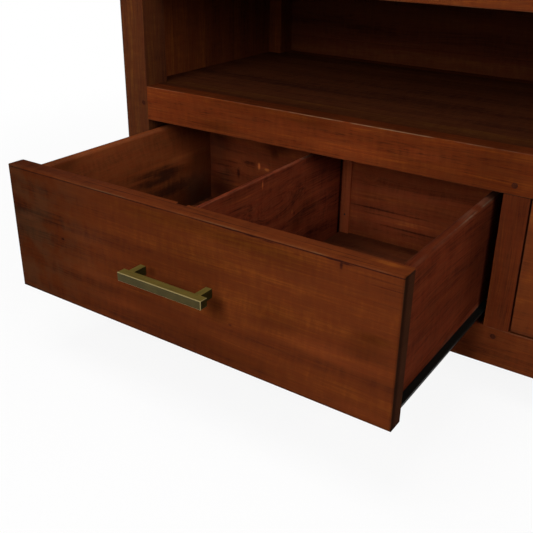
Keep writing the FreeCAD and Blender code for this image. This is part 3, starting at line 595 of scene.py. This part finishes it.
def pegMaterial():
    material, tree, shader = newMaterial("peg_end_grain")
    place = tree.nodes.new("ShaderNodeTexCoord")
    speck = noiseNode(tree, place.outputs["Object"], *pegLook["speck"]).outputs["Fac"]
    amount = rangeNode(tree, speck, *pegLook["speckRange"])
    feed(tree, shader.inputs["Base Color"], mixColour(tree, amount, pegLook["dark"], pegLook["light"]))
    shader.inputs["Roughness"].default_value = pegLook["roughness"]
    shader.inputs["Specular IOR Level"].default_value = pegLook["specular"]
    bumpInto(tree, shader, speck, *pegLook["bump"])
    return material


dress("joint_pegs", pegMaterial())


# Antique brass: brushed along each bar, with painted light on top, painted highlights on the chamfers and
# painted shade at the ends

brass = {"dark": (0.060, 0.044, 0.010, 1), "plain": (0.110, 0.078, 0.017, 1),
         "paintedHighlight": (0.20, 0.152, 0.062, 1),
         "along": 14.0, "across": 1400.0, "brush": (1.0, 3.0, 0.6), "brushShare": 0.6,
         "cloud": (70.0, 3.0), "cloudShare": 0.4, "toneRange": (0.3, 0.7),
         # painted light on faces looking up (top) and painted shade on the end faces (ends), over the base
         # shade of the front
         "facing": (0.3, 0.9), "front": 0.51, "top": 0.83, "ends": -0.28,
         "metallic": 0.35, "specular": 0.1, "rough": (0.45, 0.33), "bump": (0.15, 0.0003)}


def brassMaterial(name, grainAxis):
    material, tree, shader = newMaterial(name)
    place = tree.nodes.new("ShaderNodeTexCoord")
    faces = placeGroup(tree, faceSense, Normal=place.outputs["Normal"], Grain=grainAxis)
    stretch = [brass["along"] if share else brass["across"] for share in grainAxis]
    brushed = vectorNode(tree, "MULTIPLY", place.outputs["Object"], stretch)
    brushed = noiseNode(tree, brushed, *brass["brush"]).outputs["Fac"]
    cloud = noiseNode(tree, place.outputs["Object"], *brass["cloud"]).outputs["Fac"]
    tone = mathNode(tree, "ADD", mathNode(tree, "MULTIPLY", brushed, brass["brushShare"]),
                    mathNode(tree, "MULTIPLY", cloud, brass["cloudShare"]))
    colour = mixColour(tree, rangeNode(tree, tone, *brass["toneRange"]), brass["dark"], brass["plain"])
    facing = tree.nodes.new("ShaderNodeSeparateXYZ")
    feed(tree, facing.inputs[0], place.outputs["Normal"])
    # painted light on the faces that look up and painted shade on the end faces
    top = rangeNode(tree, facing.outputs["Z"], *brass["facing"], 0.0, brass["top"])
    sideways = mathNode(tree, "ABSOLUTE", facing.outputs["X"])
    ends = rangeNode(tree, sideways, *brass["facing"], 0.0, brass["ends"])
    shade = mathNode(tree, "ADD", mathNode(tree, "ADD", top, ends), brass["front"])
    colour = vectorNode(tree, "MULTIPLY", colour, combined(tree, shade, shade, shade))
    # painted highlights on the chamfers
    feed(tree, shader.inputs["Base Color"], mixColour(tree, faces["Arris"], colour, brass["paintedHighlight"]))
    shader.inputs["Metallic"].default_value = brass["metallic"]
    shader.inputs["Specular IOR Level"].default_value = brass["specular"]
    feed(tree, shader.inputs["Roughness"], rangeNode(tree, tone, *brass["toneRange"], *brass["rough"]))
    bumpInto(tree, shader, brushed, *brass["bump"])
    return material


barBrass = brassMaterial("brass_along_bar", (1, 0, 0))
postBrass = brassMaterial("brass_along_post", (0, 1, 0))
for side in ("left", "right"):
    dress(side + "_drawer_handle_bar", barBrass)
    dress(side + "_drawer_handle_posts", postBrass)


# Runners: black epoxy coat with a fine peel, rubbed a little in streaks along the travel

runnerCoat = {"plain": (0.0035, 0.0038, 0.0032, 1), "rubbed": (0.011, 0.012, 0.010, 1),
              "peel": (700.0, 2.0), "peelRange": (0.3, 0.7), "rough": (0.38, 0.5),
              "streak": (500.0, 5.0, 500.0), "streakDetail": 3.0, "streakRange": (0.5, 0.75),
              "specular": 0.08, "bump": (0.2, 0.0002)}


def coatMaterial():
    material, tree, shader = newMaterial("black_epoxy_coat")
    place = tree.nodes.new("ShaderNodeTexCoord")
    peel = noiseNode(tree, place.outputs["Object"], *runnerCoat["peel"]).outputs["Fac"]
    rough = rangeNode(tree, peel, *runnerCoat["peelRange"], *runnerCoat["rough"])
    streak = vectorNode(tree, "MULTIPLY", place.outputs["Object"], runnerCoat["streak"])
    streak = noiseNode(tree, streak, 1.0, runnerCoat["streakDetail"]).outputs["Fac"]
    worn = rangeNode(tree, streak, *runnerCoat["streakRange"])
    colour = mixColour(tree, worn, runnerCoat["plain"], runnerCoat["rubbed"])
    feed(tree, shader.inputs["Base Color"], colour)
    feed(tree, shader.inputs["Roughness"], rough)
    shader.inputs["Specular IOR Level"].default_value = runnerCoat["specular"]
    bumpInto(tree, shader, peel, *runnerCoat["bump"])
    return material


# Small mouldings, screws, pins and nails: a speckle between two tones of one colour

smallFinishes = {
    "roller_nylon": {"low": (0.115, 0.115, 0.112, 1), "high": (0.17, 0.17, 0.165, 1), "scale": 420.0,
                     "metallic": 0.0, "rough": (0.42, 0.55)},
    "glide_moulding": {"low": (0.012, 0.007, 0.005, 1), "high": (0.02, 0.012, 0.009, 1), "scale": 350.0,
                       "metallic": 0.0, "rough": (0.45, 0.6)},
    "zinc_plate": {"low": (0.30, 0.29, 0.26, 1), "high": (0.46, 0.46, 0.44, 1), "scale": 900.0,
                   "metallic": 1.0, "rough": (0.28, 0.42)},
    "dull_pin": {"low": (0.07, 0.060, 0.050, 1), "high": (0.13, 0.115, 0.10, 1), "scale": 900.0,
                 "metallic": 0.6, "rough": (0.4, 0.55)},
    "stained_nail": {"low": (0.014, 0.0035, 0.0015, 1), "high": (0.040, 0.010, 0.004, 1), "scale": 800.0,
                     "metallic": 0.3, "rough": (0.5, 0.7)},
}
speckle = {"detail": 3.0, "roughness": 0.6, "toneRange": (0.35, 0.65), "roughRange": (0.3, 0.7),
           "bump": (0.15, 0.0002)}


def speckledMaterial(name, look):
    material, tree, shader = newMaterial(name)
    place = tree.nodes.new("ShaderNodeTexCoord")
    speck = noiseNode(tree, place.outputs["Object"], look["scale"], speckle["detail"], speckle["roughness"])
    speck = speck.outputs["Fac"]
    amount = rangeNode(tree, speck, *speckle["toneRange"])
    feed(tree, shader.inputs["Base Color"], mixColour(tree, amount, look["low"], look["high"]))
    shader.inputs["Metallic"].default_value = look["metallic"]
    feed(tree, shader.inputs["Roughness"], rangeNode(tree, speck, *speckle["roughRange"], *look["rough"]))
    bumpInto(tree, shader, speck, *speckle["bump"])
    return material


coat = coatMaterial()
small = {name: speckledMaterial(name, look) for name, look in smallFinishes.items()}
dress("foot_glides", small["glide_moulding"])
dress("top_screws", small["zinc_plate"])
dress("channel_screws", small["zinc_plate"])
for side in ("left", "right"):
    for part in ("angle_runners", "channel_runners"):
        dress(side + "_drawer_" + part, coat)
    for part in ("front_rollers", "rear_rollers"):
        dress(side + "_drawer_" + part, small["roller_nylon"])
    for part in ("handle_screws", "angle_screws"):
        dress(side + "_drawer_" + part, small["zinc_plate"])
print("fittings dressed")


# Fixings, modelled with the head towards +Z and then set in place: recessed screws, nails and pins

toFront = Matrix.Rotation(math.pi / 2, 4, "X")
toRear = Matrix.Rotation(-math.pi / 2, 4, "X")
toFloor = Matrix.Rotation(math.pi, 4, "X")
handleScrew = {"sides": 32, "shankRadius": 0.0020, "shankLength": 0.038, "headRadius": 0.00425,
               "headHeight": 0.0026, "recess": (0.0046, 0.0010, 0.0013),
               "turn": toRear, "finish": "zinc_plate"}
angleScrew = {"sides": 24, "shankRadius": 0.0018, "shankLength": 0.0102, "headRadius": 0.0035,
              "headHeight": 0.0018, "recess": (0.0038, 0.0009, 0.0010),
              "turn": toFloor, "finish": "zinc_plate", "rows": 3}
battenNail = {"sides": 20, "shankRadius": 0.0008, "shankLength": 0.006, "headRadius": 0.0016,
              "headHeight": 0.0006, "recess": None,
              "turn": toFront, "finish": "stained_nail", "fromTop": (0.0200, 0.1205)}
backPin = {"sides": 16, "shankRadius": 0.0007, "shankLength": 0.006, "headRadius": 0.0020,
           "headHeight": 0.0004, "recess": None,
           "turn": toRear, "finish": "dull_pin", "inset": 0.012, "columns": 8}
headSteps = [(0.5, 1.0), (0.3, 0.86), (0.2, 0.62)]  # shares of the head's height and of the ring below
smoothAngle = math.radians(32)


def cutRecess(screw, look):
    length, width, depth = look["recess"]
    for turn in (0.0, math.pi / 2):
        bpy.ops.object.select_all(action="DESELECT")
        bpy.ops.mesh.primitive_cube_add(size=1.0, scale=(length, width, 2 * depth), rotation=(0, 0, turn),
                                        location=(0, 0, look["headHeight"]))
        cutter = bpy.context.object
        bpy.context.view_layer.objects.active = screw
        cut = screw.modifiers.new("recess", "BOOLEAN")
        cut.operation = "DIFFERENCE"
        cut.object = cutter
        bpy.ops.object.modifier_apply(modifier=cut.name)
        bpy.data.objects.remove(cutter)


def makeFixing(look):
    bpy.ops.object.select_all(action="DESELECT")
    bpy.ops.mesh.primitive_circle_add(vertices=look["sides"], radius=look["shankRadius"], fill_type="NGON",
                                      location=(0, 0, -look["shankLength"]))
    fixing = bpy.context.object
    bpy.ops.object.transform_apply(location=True, rotation=True, scale=True)
    bpy.ops.object.mode_set(mode="EDIT")
    bpy.ops.mesh.select_all(action="SELECT")
    rings = [(look["shankLength"], 1.0), (0.0, look["headRadius"] / look["shankRadius"])]
    rings += [(share * look["headHeight"], spread) for share, spread in headSteps]
    for rise, spread in rings:
        bpy.ops.mesh.extrude_region_move(TRANSFORM_OT_translate={"value": (0, 0, rise)})
        bpy.ops.transform.resize(value=(spread, spread, 1.0))
    bpy.ops.mesh.select_all(action="SELECT")
    bpy.ops.mesh.normals_make_consistent(inside=False)
    bpy.ops.object.mode_set(mode="OBJECT")
    if look["recess"]:
        cutRecess(fixing, look)
    return fixing


def setFixings(name, look, places, body):
    fixing = makeFixing(look)
    bpy.ops.object.select_all(action="DESELECT")
    for place in places:
        copy = fixing.copy()
        copy.data = fixing.data.copy()
        copy.data.transform(Matrix.Translation(place) @ look["turn"])
        bpy.context.scene.collection.objects.link(copy)
        copy.select_set(True)
    bpy.context.view_layer.objects.active = copy
    bpy.ops.object.join()
    bpy.ops.object.shade_smooth_by_angle(angle=smoothAngle)
    row = bpy.context.object
    row.name = name
    row.data.materials.append(small[look["finish"]])
    bpy.data.objects.remove(fixing)
    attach(row, body)
    return row


def between(low, high, count):
    return [low + (high - low) * i / (count - 1) for i in range(count)]


for side in ("left", "right"):
    body = side + "_drawer"
    low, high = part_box(body + "_handle_screws")
    edge = handleScrew["headRadius"]
    seat = high.y - handleScrew["headHeight"]
    places = [(x, seat, (low.z + high.z) / 2) for x in (low.x + edge, high.x - edge)]
    screws = setFixings(body + "_recessed_handle_screws", handleScrew, places, body)
    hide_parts(body + "_handle_screws")

    low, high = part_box(body + "_angle_screws")
    edge = angleScrew["headRadius"]
    seat = low.z + angleScrew["headHeight"]
    places = [(x, y, seat) for x in (low.x + edge, high.x - edge)
              for y in between(low.y + edge, high.y - edge, angleScrew["rows"])]
    screws = setFixings(body + "_recessed_angle_screws", angleScrew, places, body)
    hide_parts(body + "_angle_screws")

    low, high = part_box(body + "_divider_cleats")
    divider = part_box(body + "_divider")
    columns = ((low.x + divider[0].x) / 2, (divider[1].x + high.x) / 2)
    places = [(x, low.y, high.z - drop) for x in columns for drop in battenNail["fromTop"]]
    setFixings(body + "_batten_nails", battenNail, places, body)

for panel in ("niche_back_panel", "drawer_back_panel"):
    low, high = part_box(panel)
    inset = backPin["inset"]
    places = [(x, high.y, z) for x in between(low.x + inset, high.x - inset, backPin["columns"])
              for z in (low.z + inset, high.z - inset)]
    places += [(x, high.y, (low.z + high.z) / 2) for x in (low.x + inset, high.x - inset)]
    setFixings(panel + "_pins", backPin, places, "frame")
print("fixings set")


# Floor, world and lamps

stageLook = {"floorSize": 60.0, "paper": (0.82, 0.82, 0.82, 1), "paperSpecular": 0.1,
             "paperSpeck": (300.0, 2.0), "speckRange": (0.3, 0.7), "paperRough": (0.85, 0.95),
             "paperShare": 0.1, "paperReach": (0.9, 2.2), "skyLight": 0.18}
lamps = {
    "key": {"place": (-0.5, -2.75, 1.45), "aim": (-0.3, -0.3, 0.25), "size": 1.4, "power": 37.0},
    "fill": {"place": (2.2, -1.5, 1.5), "aim": (-0.2, -0.3, 0.25), "size": 1.4, "power": 40.0},
    "overhead": {"place": (-0.4, -1.1, 2.7), "aim": (-0.35, -0.4, 0.2), "size": 1.4, "power": 36.0},
    "rear": {"place": (0.5, 2.7, 1.5), "aim": (0.0, 0.2, 0.35), "size": 1.6, "power": 30.0},
}


def seenDirectly(tree):
    path = tree.nodes.new("ShaderNodeLightPath")
    seen = mathNode(tree, "MAXIMUM", path.outputs["Is Camera Ray"], path.outputs["Is Glossy Ray"])
    return mathNode(tree, "MAXIMUM", seen, path.outputs["Is Transmission Ray"])


def makeFloor():
    bpy.ops.object.select_all(action="DESELECT")
    bpy.ops.mesh.primitive_plane_add(size=stageLook["floorSize"])
    floor = bpy.context.object
    floor.name = "studio_floor"
    material, tree, shader = newMaterial("white_paper")
    place = tree.nodes.new("ShaderNodeTexCoord")
    speck = noiseNode(tree, place.outputs["Object"], *stageLook["paperSpeck"]).outputs["Fac"]
    rough = rangeNode(tree, speck, *stageLook["speckRange"], *stageLook["paperRough"])
    feed(tree, shader.inputs["Roughness"], rough)
    shader.inputs["Base Color"].default_value = stageLook["paper"]
    shader.inputs["Specular IOR Level"].default_value = stageLook["paperSpecular"]
    white = tree.nodes.new("ShaderNodeEmission")
    white.inputs["Strength"].default_value = 1.0
    mix = tree.nodes.new("ShaderNodeMixShader")
    away = vectorNode(tree, "LENGTH", place.outputs["Object"])
    glow = rangeNode(tree, away, *stageLook["paperReach"], 1.0 - stageLook["paperShare"], 1.0)
    share = mathNode(tree, "MULTIPLY", seenDirectly(tree), glow)
    feed(tree, mix.inputs[0], share)
    feed(tree, mix.inputs[1], shader.outputs[0])
    feed(tree, mix.inputs[2], white.outputs[0])
    output = next(n for n in tree.nodes if n.type == "OUTPUT_MATERIAL")
    feed(tree, output.inputs["Surface"], mix.outputs[0])
    floor.data.materials.append(material)


def makeWorld():
    world = bpy.data.worlds.new("studio")
    bpy.context.scene.world = world
    world.use_nodes = True
    tree = world.node_tree
    background = next(n for n in tree.nodes if n.type == "BACKGROUND")
    background.inputs["Color"].default_value = (1, 1, 1, 1)
    feed(tree, background.inputs["Strength"],
         rangeNode(tree, seenDirectly(tree), 0.0, 1.0, stageLook["skyLight"], 1.0))


def makeLamp(name, look):
    data = bpy.data.lights.new(name, "AREA")
    data.size = look["size"]
    data.energy = look["power"]
    lamp = bpy.data.objects.new(name, data)
    bpy.context.scene.collection.objects.link(lamp)
    lamp.location = look["place"]
    lamp.rotation_euler = (Vector(look["aim"]) - lamp.location).to_track_quat("-Z", "Y").to_euler()


makeFloor()
makeWorld()
for name, look in lamps.items():
    makeLamp(name, look)
print("studio made")


# Camera, at the photograph's view

photoView = {"imageSize": 533, "sensor": 36.0, "focalPixels": 742.3, "centreRow": 250.0,
             "azimuth": 34.02, "elevation": 24.59, "roll": 0.8, "place": (0.2308, -1.1271, 0.6324)}


def makeCamera(view):
    data = bpy.data.cameras.new("photo_camera")
    data.sensor_width = view["sensor"]
    data.lens = view["focalPixels"] * view["sensor"] / view["imageSize"]
    data.shift_y = view["centreRow"] / view["imageSize"] - 0.5
    camera = bpy.data.objects.new("photo_camera", data)
    bpy.context.scene.collection.objects.link(camera)
    azimuth, elevation, roll = (math.radians(view[k]) for k in ("azimuth", "elevation", "roll"))
    level = Matrix.Rotation(azimuth, 4, "Z") @ Matrix.Rotation(math.pi / 2 - elevation, 4, "X")
    camera.matrix_world = Matrix.Translation(view["place"]) @ level @ Matrix.Rotation(roll, 4, "Z")
    bpy.context.scene.camera = camera


makeCamera(photoView)
bpy.context.scene.view_settings.view_transform = "Standard"
print("camera set")
